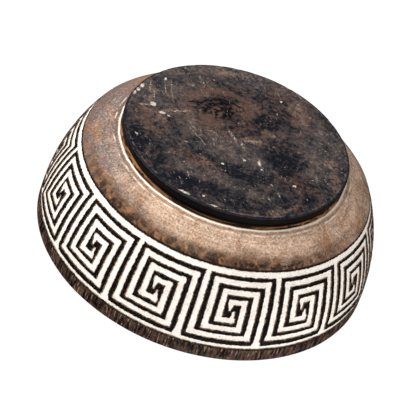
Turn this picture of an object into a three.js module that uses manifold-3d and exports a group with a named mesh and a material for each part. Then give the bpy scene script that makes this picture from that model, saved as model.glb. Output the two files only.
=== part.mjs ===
// A turned and carved wooden bowl, standing on its foot with its mouth up.
// Units are millimetres. +Z is up, and the origin is the centre of the foot's underside.
import * as THREE from 'three';
import Module from 'manifold-3d';
import { mergeVertices } from 'three/addons/utils/BufferGeometryUtils.js';

const wasm = await Module();
wasm.setup();

// Foot: a flat turned disc, let into the underside of the bowl by a shallow spigot.
const FOOT_RADIUS = 83.3;
const FOOT_DEPTH = 5;
const FOOT_BEVEL = 0.9;
const SPIGOT_RADIUS = 66;
const SPIGOT_DEPTH = 2.5;

// Cove: the narrow hollow between the foot and the worn edge of the shoulder.
const COVE_INSET = 3.4;
const COVE_RISE = 5.6;
const LEDGE_OVERHANG = 0.4;

// Outside of the bowl, from the worn edge up to the lip.
const BOWL_RADIUS = 124.9;
const BAND_FOOT_INSET = 17.1;
const BAND_LIP_INSET = 0.3;
const SHOULDER_RISE = 16.2;
const SHOULDER_BULGE = 2;
const BAND_RISE = 58.8;
const BAND_BULGE = 3.4;
const LIP_RISE = 11.6;
const LIP_ROUND = 2.2;

// Hollow.
const WALL = 8.5;
const FLOOR = 9;
const FLOOR_DISH = 2;

// Carved band: one running double key, a panel of columns and rows to each repeat.
const PANELS = 14;
const COLUMNS = 7;
const ROWS = 8;
const LINE_WIDTH = 4.2;
const RING_WIDTH = 4.3;
const TIP_WIDTH = 1.6;
const CHANNEL_DEPTH = 1.7;
const FILL_DROP = 0.6;
const FRONT = -Math.PI / 2;
const FIRST_COLUMN_TURN = -0.103;
const SPACING_DRIFT = 0.028;

// Clearance between pieces that touch.
const GAP = 0.3;

// Fineness of the faceted surfaces.
const TURNS = PANELS * 3;
const SHOULDER_STEPS = 3;
const BAND_STEPS = 3;
const LEG_STEP = 3;
const CUTTER_RISE = 1.5;

// An arc from start to end in the (radius, height) plane, bulging outwards by the given rise.
// pointAt(t) gives the place at 0 to 1 along it, with the outward normal there.
function bulgedArc(start, end, bulge) {
  const chord = end.clone().sub(start);
  const outward = new THREE.Vector2(chord.y, -chord.x).normalize();
  const radius = (chord.length() ** 2 / 4 + bulge ** 2) / (2 * bulge);
  const centre = start.clone().lerp(end, 0.5).addScaledVector(outward, bulge - radius);
  const half = Math.asin(chord.length() / 2 / radius);
  const middle = outward.angle();
  const pointAt = (t) => {
    const angle = middle + (2 * t - 1) * half;
    const normal = new THREE.Vector2(Math.cos(angle), Math.sin(angle));
    return { place: centre.clone().addScaledVector(normal, radius), normal };
  };
  return { pointAt, length: 2 * half * radius };
}

const footTop = FOOT_DEPTH + GAP;
const ledge = new THREE.Vector2(FOOT_RADIUS + LEDGE_OVERHANG, footTop + COVE_RISE);
const bandFoot = new THREE.Vector2(BOWL_RADIUS - BAND_FOOT_INSET, ledge.y + SHOULDER_RISE);
const bandLip = new THREE.Vector2(BOWL_RADIUS - BAND_LIP_INSET, bandFoot.y + BAND_RISE);
const lipHeight = bandLip.y + LIP_RISE;
const shoulder = bulgedArc(ledge, bandFoot, SHOULDER_BULGE);
const band = bulgedArc(bandFoot, bandLip, BAND_BULGE);
const bandRadius = band.pointAt(0.5).place.x;

// Points along an arc, each moved the given distance inwards from the outer face.
function along(arc, steps, inwards = 0) {
  const points = [];
  for (let i = 0; i <= steps; i += 1) {
    const { place, normal } = arc.pointAt(i / steps);
    points.push(place.addScaledVector(normal, -inwards));
  }
  return points;
}

// Turns a closed profile of (radius, height) points about the bowl's axis.
function turned(points) {
  return new THREE.LatheGeometry(points, TURNS).rotateX(Math.PI / 2);
}

function corner(radius, height) {
  return new THREE.Vector2(radius, height);
}

// Place on the bowl's side: x runs round the band, y runs up it from its foot-side edge,
// and height stands out from the face.
function wrapped(x, y, height) {
  const turn = x / bandRadius + FIRST_COLUMN_TURN;
  const angle = FRONT + turn + SPACING_DRIFT * Math.sin(turn);
  const { place, normal } = band.pointAt(y / band.length);
  place.addScaledVector(normal, height);
  return new THREE.Vector3(place.x * Math.cos(angle), place.x * Math.sin(angle), place.y);
}

// A path of (column, row) corners as places on the flat band, with its long legs divided.
const columnPitch = (2 * Math.PI * bandRadius) / (PANELS * COLUMNS);
const rowPitch = (band.length - RING_WIDTH) / ROWS;
function laidOut(path) {
  const points = [];
  path.forEach(([column, row, width], index) => {
    const next = path[index + 1] ?? [column, row];
    const legs = Math.max(1, Math.ceil(Math.hypot(next[0] - column, next[1] - row) / LEG_STEP));
    const count = index === path.length - 1 ? 1 : legs;
    for (let i = 0; i < count; i += 1) {
      const c = column + ((next[0] - column) * i) / legs;
      const r = row + ((next[1] - row) * i) / legs;
      const place = new THREE.Vector2(c * columnPitch, r * rowPitch + RING_WIDTH / 2);
      points.push({ place, width: i === 0 ? width : LINE_WIDTH });
    }
  });
  return points;
}

// A box with a segment for each division of the path, bent along it and round the bowl.
function bentBar(points, widen, low, high) {
  const geometry = new THREE.BoxGeometry(1, 1, 1, points.length - 1, 1, 1);
  const vertices = geometry.attributes.position;
  const normalOf = (from, to) => new THREE.Vector2(from.y - to.y, to.x - from.x).normalize();
  for (let i = 0; i < vertices.count; i += 1) {
    const index = Math.round((vertices.getX(i) + 0.5) * (points.length - 1));
    const { place, width } = points[index];
    const before = points[index - 1]?.place;
    const after = points[index + 1]?.place;
    const into = before ? normalOf(before, place) : normalOf(place, after);
    const out = after ? normalOf(place, after) : into;
    const mitre = into.clone().add(out).divideScalar(1 + into.dot(out));
    const side = vertices.getY(i) * (width + 2 * widen);
    const ahead = new THREE.Vector2(into.y, -into.x);
    const overrun = (before ? 0 : -widen) + (after ? 0 : widen);
    const x = place.x + mitre.x * side + ahead.x * overrun;
    const y = place.y + mitre.y * side + ahead.y * overrun;
    const bent = wrapped(x, y, vertices.getZ(i) > 0 ? high : low);
    vertices.setXYZ(i, bent.x, bent.y, bent.z);
  }
  return geometry;
}

// A ring of the band between two places up its side, turned like the bowl itself.
function bandRing(from, to, low, high) {
  const at = (y, height) => {
    const { place, normal } = band.pointAt(y / band.length);
    return place.addScaledVector(normal, height);
  };
  const profile = [at(from, low), at(from, high), at(to, high), at(to, low), at(from, low)];
  return turned(profile);
}

// Closed three.js geometry to a solid, and back.
function toSolid(geometry) {
  const bare = geometry.clone();
  bare.deleteAttribute('normal');
  bare.deleteAttribute('uv');
  const merged = mergeVertices(bare, 1e-3);
  const triangles = [];
  for (let i = 0; i < merged.index.count; i += 3) {
    const [a, b, c] = [0, 1, 2].map((k) => merged.index.getX(i + k));
    if (a !== b && b !== c && c !== a) triangles.push(a, b, c);
  }
  const vertProperties = new Float32Array(merged.attributes.position.array);
  const triVerts = new Uint32Array(triangles);
  return new wasm.Manifold(new wasm.Mesh({ numProp: 3, vertProperties, triVerts }));
}

function toGeometry(solid) {
  const mesh = solid.getMesh();
  const geometry = new THREE.BufferGeometry();
  geometry.setAttribute('position', new THREE.BufferAttribute(mesh.vertProperties, 3));
  geometry.setIndex(new THREE.BufferAttribute(mesh.triVerts, 1));
  geometry.computeVertexNormals();
  return geometry;
}

// Finishes.
const blackenedWood = new THREE.MeshStandardMaterial({
  color: 0x2b2422, roughness: 0.62, metalness: 0,
});
const brownWood = new THREE.MeshStandardMaterial({
  color: 0x6d5242, roughness: 0.5, metalness: 0,
});
const lime = new THREE.MeshStandardMaterial({
  color: 0xf1ece3, roughness: 0.85, metalness: 0,
});

const bowl = new THREE.Group();
function addPiece(name, geometry, material) {
  const piece = new THREE.Mesh(geometry, material);
  piece.name = name;
  bowl.add(piece);
}

// Foot disc.
function footDisc() {
  const spigotTop = FOOT_DEPTH + SPIGOT_DEPTH;
  return turned([
    corner(0, 0),
    corner(FOOT_RADIUS - FOOT_BEVEL, 0),
    corner(FOOT_RADIUS, FOOT_BEVEL),
    corner(FOOT_RADIUS, FOOT_DEPTH),
    corner(SPIGOT_RADIUS, FOOT_DEPTH),
    corner(SPIGOT_RADIUS, spigotTop),
    corner(0, spigotTop),
  ]);
}

// Hollow bowl before carving: underside, cove, shoulder, band, lip, then the inside.
function bowlBlank() {
  const socketRadius = SPIGOT_RADIUS + GAP;
  const socketTop = footTop + SPIGOT_DEPTH;
  const coveRadius = FOOT_RADIUS - COVE_INSET;
  const floorTop = socketTop + FLOOR;
  const innerLip = BOWL_RADIUS - WALL;
  const inside = [
    ...along(shoulder, SHOULDER_STEPS, WALL),
    ...along(band, BAND_STEPS, WALL).slice(1),
  ].filter((point) => point.y > floorTop + FLOOR_DISH / 2 && point.x < innerLip);
  return turned([
    corner(0, socketTop),
    corner(socketRadius, socketTop),
    corner(socketRadius, footTop),
    corner(coveRadius, footTop),
    corner(coveRadius + LEDGE_OVERHANG, footTop + COVE_RISE / 2),
    ...along(shoulder, SHOULDER_STEPS),
    ...along(band, BAND_STEPS).slice(1),
    corner(BOWL_RADIUS, lipHeight - LIP_ROUND),
    corner(BOWL_RADIUS - LIP_ROUND / 2, lipHeight),
    corner(innerLip + LIP_ROUND / 2, lipHeight),
    corner(innerLip, lipHeight - LIP_ROUND),
    ...inside.reverse(),
    corner(FOOT_RADIUS / 2, floorTop),
    corner(0, floorTop),
  ]);
}

// Key lines of one panel. The first rises from the lip-side ring and the second, the same
// line turned half round, drops from the foot-side ring, so the two spirals interlock.
const ringReach = RING_WIDTH / 2 / rowPitch;
const lipLine = [
  [1, ROWS - ringReach - GAP / rowPitch, LINE_WIDTH],
  [1, 1, LINE_WIDTH],
  [COLUMNS - 1, 1, LINE_WIDTH],
  [COLUMNS - 1, ROWS - 2, LINE_WIDTH],
  [3, ROWS - 2, LINE_WIDTH],
  [3, 3, LINE_WIDTH],
  [4.2, 3, LINE_WIDTH],
  [4.2, 3.9, TIP_WIDTH],
];
const footLine = lipLine.map(([c, r, width]) => [COLUMNS + 1 - c, ROWS - r, width]);

const strokes = [];
for (let i = 0; i < PANELS; i += 1) {
  const number = String(i + 1).padStart(2, '0');
  const shifted = (line) => laidOut(line.map(([c, r, width]) => [c + i * COLUMNS, r, width]));
  strokes.push([`lip_key_fill_${number}`, shifted(lipLine)]);
  strokes.push([`foot_key_fill_${number}`, shifted(footLine)]);
}
const rings = [
  ['foot_ring_fill', 0, RING_WIDTH],
  ['lip_ring_fill', band.length - RING_WIDTH, band.length],
];

// Channels are the fills grown by the clearance, cut out through the face of the wood.
const floorDepth = -CHANNEL_DEPTH;
const cutters = [
  ...rings.map(([, from, to]) => bandRing(from - GAP, to + GAP, floorDepth, CUTTER_RISE)),
  ...strokes.map(([, points]) => bentBar(points, GAP, floorDepth, CUTTER_RISE)),
];
const carved = cutters.reduce(
  (solid, cutter) => solid.subtract(toSolid(cutter)),
  toSolid(bowlBlank()),
);

addPiece('foot_disc', footDisc(), blackenedWood);
addPiece('bowl_body', toGeometry(carved), brownWood);
rings.forEach(([name, from, to]) => {
  addPiece(name, bandRing(from, to, floorDepth + GAP, -FILL_DROP), lime);
});
strokes.forEach(([name, points]) => {
  addPiece(name, bentBar(points, 0, floorDepth + GAP, -FILL_DROP), lime);
});

export default bowl;
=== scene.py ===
"""A turned wooden bowl with a carved and limed key band, standing on its foot disc."""
import math
import random
from collections import namedtuple

import bmesh
import bpy
from bpy.props import FloatProperty, FloatVectorProperty, IntProperty, PointerProperty
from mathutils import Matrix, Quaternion, Vector, noise


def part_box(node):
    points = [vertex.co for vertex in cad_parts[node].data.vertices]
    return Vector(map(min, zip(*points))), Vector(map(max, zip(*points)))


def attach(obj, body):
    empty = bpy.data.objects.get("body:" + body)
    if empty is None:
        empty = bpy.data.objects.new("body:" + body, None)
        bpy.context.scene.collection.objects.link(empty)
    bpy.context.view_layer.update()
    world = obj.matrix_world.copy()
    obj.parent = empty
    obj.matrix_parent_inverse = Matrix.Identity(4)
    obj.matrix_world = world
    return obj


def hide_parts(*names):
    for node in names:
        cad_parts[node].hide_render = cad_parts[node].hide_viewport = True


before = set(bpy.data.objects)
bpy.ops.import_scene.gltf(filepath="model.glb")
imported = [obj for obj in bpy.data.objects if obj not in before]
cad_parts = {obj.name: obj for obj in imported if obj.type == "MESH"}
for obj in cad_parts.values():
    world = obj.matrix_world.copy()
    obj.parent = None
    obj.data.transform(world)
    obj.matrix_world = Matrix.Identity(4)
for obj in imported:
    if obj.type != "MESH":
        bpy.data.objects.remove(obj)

bl_info = {
    "name": "Carved Key Bowl",
    "version": (1, 0, 0),
    "blender": (4, 5, 0),
    "location": "3D View > Sidebar > Bowl",
    "description": "Builds a turned wooden bowl with a carved key band",
    "category": "Add Mesh",
}

MM = 0.001
FULL_TURN = 2 * math.pi
FRONT = -math.pi / 2
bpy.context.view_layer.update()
BODY_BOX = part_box("bowl_body")
FOOT_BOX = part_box("foot_disc")

# The carving: distances from a carved edge, negative inside the cut.
WALL_BOTTOM = -0.62 * MM
WALL_TOP = 0.10 * MM
ROUNDED_OVER = 0.9 * MM
NEAR_EDGE = 2.5 * MM

# The carving: how much the wood is rounded off at an edge and how uneven its face is.
ROUNDED_BY = 0.12 * MM
RIDGE_ROUGH = 0.10 * MM

# The lime is wider and deeper than its channel by these, so that no gap shows beside it.
LINE_TUCK = 0.85 * MM
RING_TUCK = 0.75 * MM
BASE_TUCK = 0.15 * MM

# The lime's surface: its hollow, its bumps and the spacing of a line's sections.
LIME_DISH = 0.22 * MM
LIME_ROUGH = 0.13 * MM
LIME_BUMPS = 2.4 * MM
LIME_SEED = 9.1
LINE_STEP = 0.8 * MM

# How much thicker a panel is than its carving is deep, and how much deeper its bed is.
PANEL_BACK = 0.5 * MM
PANEL_BED = 0.9 * MM

# Points of the body this near to a panel's edge in height don't wobble.
SAME_HEIGHT = 0.4 * MM

# Steps round the foot disc.
FOOT_TURNS = 720


# ---- Sizes and colours that a user would change --------------------------------------------


def length(name, description, default):
    """A length property, in metres."""
    return FloatProperty(
        name=name, description=description, default=default, min=0, unit="LENGTH"
    )


def colour(name, description, default):
    """A colour property, in linear light."""
    return FloatVectorProperty(
        name=name,
        description=description,
        default=default,
        size=3,
        min=0,
        max=1,
        subtype="COLOR",
    )


class BowlSizes(bpy.types.PropertyGroup):
    """Sizes of the turned bowl."""

    foot_radius: length("Foot radius", "Radius of the foot disc", FOOT_BOX[1].y)
    foot_depth: length("Foot depth", "Height of the foot's edge", 5 * MM)
    foot_bevel: length("Foot bevel", "Worn corner of the foot", 0.9 * MM)
    spigot_radius: length("Spigot radius", "Radius of the foot's spigot", 66 * MM)
    spigot_depth: length("Spigot depth", "Height of the foot's spigot", 2.5 * MM)
    cove_inset: length("Cove inset", "How far the cove goes in above the foot", 3.4 * MM)
    cove_rise: length("Cove rise", "Height of the cove", 5.6 * MM)
    ledge_overhang: length("Ledge overhang", "Worn edge past the foot", 0.4 * MM)
    bowl_radius: length("Bowl radius", "Radius at the lip", BODY_BOX[1].y)
    band_foot_inset: length("Band foot inset", "Radius lost at the band's foot", 17.1 * MM)
    band_lip_inset: length("Band lip inset", "Radius lost at the band's top", 0.3 * MM)
    shoulder_rise: length("Shoulder rise", "Height of the shoulder", 16.2 * MM)
    shoulder_bulge: length("Shoulder bulge", "Roundness of the shoulder", 2 * MM)
    band_rise: length("Band rise", "Height of the carved band", 58.8 * MM)
    band_bulge: length("Band bulge", "Roundness of the carved band", 3.4 * MM)
    lip_rise: length("Lip rise", "Plain wood above the carved band", 11.6 * MM)
    lip_round: length("Lip round", "Rounding of the lip", 2.2 * MM)
    wall: length("Wall", "Thickness of the side", 8.5 * MM)
    floor: length("Floor", "Thickness of the bottom", 9 * MM)
    floor_dish: length("Floor dish", "Hollow of the floor", 2 * MM)
    gap: length("Gap", "Clearance between pieces", 0.3 * MM)
    turns: IntProperty(name="Turns", description="Steps round the turned faces", default=960)


class KeySizes(bpy.types.PropertyGroup):
    """Sizes of the carved key band."""

    panels: IntProperty(name="Panels", description="Repeats round the band", default=14)
    columns: IntProperty(name="Columns", description="Line pitches in a panel", default=7)
    rows: IntProperty(name="Rows", description="Line pitches up the band", default=8)
    line_width: length("Line width", "Width of a limed line", 4.2 * MM)
    ring_width: length("Ring width", "Width of the limed rings", 4.3 * MM)
    lip_ring_worn: length("Lip ring worn", "Ridge wood crept over the lip ring", 1.0 * MM)
    tip_width: length("Tip width", "Width of a line's pointed end", 1.6 * MM)
    depth: length("Channel depth", "Depth of the carving", 1.7 * MM)
    fill_drop: length("Fill drop", "Lime surface below the wood", 0.6 * MM)
    chip: length("Chip", "Unevenness of the carved edges", 0.55 * MM)
    cut_drift: length("Cut drift", "How far a cut strays sideways", 0.22 * MM)
    flare: FloatProperty(
        name="Flare", description="Spread of a line where it meets the lip ring", default=1.5
    )
    border: length("Border", "Wood outside the rings made with a panel", 2.6 * MM)
    mesh_step: length("Mesh step", "Grid spacing of the carved face", 0.45 * MM)
    first_turn: FloatProperty(
        name="First turn",
        description="Angle of the first column from the front",
        default=-0.103,
        unit="ROTATION",
    )
    spacing_drift: FloatProperty(
        name="Spacing drift",
        description="How far the panels' hand spacing strays",
        default=0.028,
        unit="ROTATION",
    )


class BowlColours(bpy.types.PropertyGroup):
    """Colours of the wood and the lime."""

    brown: colour("Brown wood", "Streaks on the shoulder", (0.150, 0.085, 0.052))
    amber: colour("Amber wood", "Burnished shoulder", (0.290, 0.165, 0.100))
    # Tan also paints light: the shoulder is paler at the front and right.
    tan: colour("Tan wood", "Rubbed patches", (0.590, 0.395, 0.270))
    # Pale also paints highlights: the line along the ledge and the shine on the shoulder; on
    # the foot it is chipped wood.
    pale: colour("Pale wood", "Worn ledge", (0.940, 0.820, 0.680))
    # Grey of the painted sheen on the shoulder's left side, and of the smudges on the lime.
    grey_sheen_and_smudge: colour("Ash grey", "Grey bloom on the shoulder", (0.185, 0.150, 0.148))
    orange: colour("Orange wood", "Fresh wood in the cove", (0.420, 0.180, 0.065))
    burnt: colour("Burnt wood", "Scorched borders", (0.014, 0.008, 0.006))
    # Near-black also paints shade: the cove next to the foot and the side of the foot disc.
    near_black: colour("Ridge wood", "Blackened ridges", (0.0022, 0.0018, 0.0018))
    lip: colour("Lip wood", "Dark plain wood by the lip", (0.062, 0.035, 0.025))
    inside: colour("Inside wood", "Oiled hollow", (0.200, 0.105, 0.058))
    foot: colour("Foot wood", "Charcoal foot", (0.006, 0.007, 0.011))
    rust: colour("Rust brown", "Brown clouds in the foot", (0.095, 0.054, 0.040))
    smoke: colour("Smoke", "Smoky ground of the foot", (0.050, 0.043, 0.043))
    dust: colour("Dust", "Grey dust on the foot", (0.215, 0.172, 0.148))
    lime: colour("Lime", "Lime in the channels", (0.890, 0.835, 0.765))
    cream: colour("Cream", "Chips and scratches", (0.780, 0.660, 0.520))


class StageSizes(bpy.types.PropertyGroup):
    """Camera, floor and lights."""

    camera_aim: FloatVectorProperty(
        name="Camera aim",
        description="Point that the camera looks at",
        default=(3.4 * MM, -11.7 * MM, 59.4 * MM),
        unit="LENGTH",
    )
    camera_distance: length("Camera distance", "From the aim", 1428.4 * MM)
    camera_elevation: FloatProperty(
        name="Camera elevation",
        description="Angle above the horizon",
        default=math.radians(-39.14),
        unit="ROTATION",
    )
    camera_roll: FloatProperty(
        name="Camera roll",
        description="Clockwise turn of the camera about its line of sight",
        default=math.radians(160.39),
        unit="ROTATION",
    )
    camera_lens: FloatProperty(
        name="Camera lens", description="Focal length", default=170.7, unit="CAMERA"
    )
    floor_size: length("Floor size", "Side of the floor", 6.0)


# ---- The bowl's side ----------------------------------------------------------------------


class Arc:
    """An arc in the (radius, height) plane from start to end, bulging outwards."""

    def __init__(self, start, end, bulge):
        chord = end - start
        outward = Vector((chord.y, -chord.x)).normalized()
        self.radius = (chord.length**2 / 4 + bulge**2) / (2 * bulge)
        self.centre = (start + end) / 2 + outward * (bulge - self.radius)
        self.half = math.asin(chord.length / 2 / self.radius)
        self.middle = math.atan2(outward.y, outward.x)
        self.length = 2 * self.half * self.radius

    def normal(self, share):
        """Outward direction at 0 to 1 along the arc."""
        angle = self.middle + (2 * share - 1) * self.half
        return Vector((math.cos(angle), math.sin(angle)))

    def at(self, share, height=0.0):
        """Place at 0 to 1 along the arc, raised off it by the given height."""
        return self.centre + self.normal(share) * (self.radius + height)


class Side:
    """The outer face of the bowl's side, measured as y up it from the band's foot edge."""

    def __init__(self, bowl, key):
        self.key = key
        self.foot_top = bowl.foot_depth + bowl.gap
        ledge_radius = bowl.foot_radius + bowl.ledge_overhang
        self.ledge = Vector((ledge_radius, self.foot_top + bowl.cove_rise))
        band_foot_radius = bowl.bowl_radius - bowl.band_foot_inset
        self.band_foot = Vector((band_foot_radius, self.ledge.y + bowl.shoulder_rise))
        band_lip_radius = bowl.bowl_radius - bowl.band_lip_inset
        self.band_lip = Vector((band_lip_radius, self.band_foot.y + bowl.band_rise))
        self.lip_height = self.band_lip.y + bowl.lip_rise
        self.lip_start = Vector((bowl.bowl_radius, self.lip_height - bowl.lip_round))
        self.shoulder = Arc(self.ledge, self.band_foot, bowl.shoulder_bulge)
        self.band = Arc(self.band_foot, self.band_lip, bowl.band_bulge)
        self.band_radius = self.band.at(0.5).x
        self.column_pitch = FULL_TURN * self.band_radius / (key.panels * key.columns)
        self.row_pitch = (self.band.length - key.ring_width) / key.rows

    def on_face(self, y):
        """Place and outward direction on the bare face."""
        if y < 0:
            share = 1 + y / self.shoulder.length
            return self.shoulder.at(share), self.shoulder.normal(share)
        if y <= self.band.length:
            share = y / self.band.length
            return self.band.at(share), self.band.normal(share)
        up = (self.lip_start - self.band_lip).normalized()
        return self.band_lip + up * (y - self.band.length), Vector((up.y, -up.x))

    def at(self, y, height=0.0):
        """Place off the face; directions are eased over the edges between faces."""
        ease = 1.5 * MM
        normal = (self.on_face(y - ease)[1] + self.on_face(y + ease)[1]).normalized()
        return self.on_face(y)[0] + normal * height

    def angle(self, x):
        """Angle about the bowl's axis of a place x round the band."""
        turn = x / self.band_radius + self.key.first_turn
        return FRONT + turn + self.key.spacing_drift * math.sin(turn)

    def wrapped(self, x, y, height=0.0):
        """Place in space of a point x round and y up the side."""
        place = self.at(y, height)
        angle = self.angle(x)
        return Vector((place.x * math.cos(angle), place.x * math.sin(angle), place.y))


# ---- Mesh helpers --------------------------------------------------------------------------


def eased(value, low, high):
    """0 below low, 1 above high, and a smooth step between."""
    share = min(max((value - low) / (high - low), 0.0), 1.0)
    return share * share * (3 - 2 * share)


def rough(place, size, seed=0.0):
    """Smooth noise from about -1 to 1 with bumps of the given size."""
    return noise.noise(place / size + Vector((seed, -seed, 2 * seed)))


def turned(profile, turns):
    """A bmesh turned about the Z axis from a list of (radius, height) points."""
    bm = bmesh.new()
    points = [bm.verts.new((point.x, 0, point.y)) for point in profile]
    edges = [bm.edges.new(pair) for pair in zip(points, points[1:])]
    bmesh.ops.spin(
        bm,
        geom=points + edges,
        cent=(0, 0, 0),
        axis=(0, 0, 1),
        angle=FULL_TURN,
        steps=turns,
        use_merge=True,
    )
    bmesh.ops.remove_doubles(bm, verts=bm.verts, dist=1e-7)
    bmesh.ops.recalc_face_normals(bm, faces=bm.faces)
    return bm


def lofted(sections):
    """A closed bmesh through like sections, each a ring of points, with its ends capped."""
    bm = bmesh.new()
    around = len(sections[0])
    bmesh.ops.create_grid(bm, x_segments=around, y_segments=len(sections) - 1, size=1)
    bm.verts.ensure_lookup_table()
    for row, section in enumerate(sections):
        for column in range(around + 1):
            bm.verts[row * (around + 1) + column].co = section[column % around]
    bmesh.ops.remove_doubles(bm, verts=bm.verts, dist=1e-7)
    rims = [edge for edge in bm.edges if edge.is_boundary]
    bmesh.ops.holes_fill(bm, edges=rims, sides=0)
    bmesh.ops.recalc_face_normals(bm, faces=bm.faces)
    return bm


def finished(bm, name, materials, crease=60):
    """Turns a bmesh into a smooth-shaded object at the origin."""
    mesh = bpy.data.meshes.new(name)
    for face in bm.faces:
        face.smooth = True
    bm.to_mesh(mesh)
    bm.free()
    mesh.set_sharp_from_angle(angle=math.radians(crease))
    for material in materials:
        mesh.materials.append(material)
    piece = bpy.data.objects.new(name, mesh)
    bpy.context.scene.collection.objects.link(piece)
    return piece


# ---- Key lines -----------------------------------------------------------------------------

# A straight chisel cut on the flat band, from start to end, with the width at each.
Cut = namedtuple("Cut", "start end widths overrun seed")


def key_line(key, side, flare):
    """Corners of a line that leaves the lip-side ring, as (column, row, width)."""
    ring_edge = key.rows - key.ring_width / 2 / side.row_pitch
    wide = key.line_width
    last = key.columns - 1
    return [
        (1, ring_edge, wide * flare),
        (1, ring_edge - 0.4, wide),
        (1, 1, wide),
        (last, 1, wide),
        (last, key.rows - 2, wide),
        (3, key.rows - 2, wide),
        (3, 3, wide),
        (4.2, 3, wide),
        (4.2, 3.9, key.tip_width),
    ]


def lip_line(key, side):
    """The line that rises from the lip-side ring, spread a little at the ring."""
    return key_line(key, side, key.flare)


def foot_line(key, side):
    """The same line turned half round, so that it drops from the foot-side ring."""
    turned_columns = key.columns + 1
    line = key_line(key, side, 1.0)
    return [(turned_columns - c, key.rows - r, w) for c, r, w in line]


def laid_out(line, panel, key, side):
    """Corners of a line as (flat place, width), in the given panel."""
    return [
        (
            Vector((
                (column + panel * key.columns) * side.column_pitch,
                row * side.row_pitch + key.ring_width / 2,
            )),
            width,
        )
        for column, row, width in line
    ]


def cuts_of(panel, key, side):
    """The chisel cuts of one panel, each a little off its line as a hand would cut it."""
    cuts = []
    for which, line in enumerate((lip_line(key, side), foot_line(key, side))):
        corners = laid_out(line, panel, key, side)
        for leg, ((start, wide), (end, narrow)) in enumerate(zip(corners, corners[1:])):
            seed = (panel % key.panels) * 100 + which * 50 + leg
            hand = random.Random(seed)
            along = (end - start).normalized()
            across = Vector((-along.y, along.x))
            drift = key.cut_drift
            first = start + across * hand.uniform(-drift, drift)
            last = end + across * hand.uniform(-drift, drift)
            first_width = wide * hand.uniform(0.94, 1.04)
            last_width = narrow * hand.uniform(0.94, 1.04)
            overrun = hand.uniform(-0.25, 0.35) * MM
            widths = (first_width, last_width)
            cuts.append(Cut(first, last, widths, key.line_width / 2 + overrun, seed))
    return cuts


def depth_in(cut, place):
    """How far a flat place is outside a cut's edge, and negative inside it."""
    line = cut.end - cut.start
    span = line.length
    along = line / span
    offset = place - cut.start
    run = offset.dot(along)
    share = min(max(run / span, 0.0), 1.0)
    width = cut.widths[0] + (cut.widths[1] - cut.widths[0]) * share
    last_overrun = cut.overrun * cut.widths[1] / cut.widths[0]
    past = max(-run - cut.overrun, run - span - last_overrun)
    near_end = eased(-past, 0.0, 1.2 * MM)
    reach = width / 2 * (0.88 + 0.12 * near_end)
    beside = abs(offset.x * along.y - offset.y * along.x) - reach
    if past > 0 and beside > 0:
        return math.hypot(past, beside)
    return max(past, beside)


def ring_edges(side):
    """Lowest and highest y of the two limed rings."""
    width = side.key.ring_width
    top = side.band.length
    worn = side.key.lip_ring_worn
    return (0.0, width), (top - width + worn, top - worn / 2)


def chipped(distance, solid_place, chip):
    """An edge distance made uneven by the tool and by later knocks."""
    slow = rough(solid_place, 7 * MM, 3.1)
    quick = rough(solid_place, 1.4 * MM, 7.7)
    knock = max(0.0, rough(solid_place, 3.3 * MM, 12.3) - 0.25)
    return distance + chip * (0.45 * slow + 0.75 * quick - 0.9 * knock)


# ---- Materials -----------------------------------------------------------------------------


def feed(tree, socket, value):
    """Links a socket to a node's output, or sets it to a number or a colour."""
    if isinstance(value, bpy.types.NodeSocket):
        tree.links.new(value, socket)
    elif socket.type == "RGBA":
        socket.default_value = (*value[:3], 1)
    else:
        socket.default_value = value


def new_node(tree, kind, output, inputs, **settings):
    """An output of a new node with the given inputs and settings."""
    node = tree.nodes.new(f"ShaderNode{kind}")
    for name, value in settings.items():
        setattr(node, name, value)
    for name, value in inputs.items():
        feed(tree, node.inputs[name], value)
    return node.outputs[output]


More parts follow.
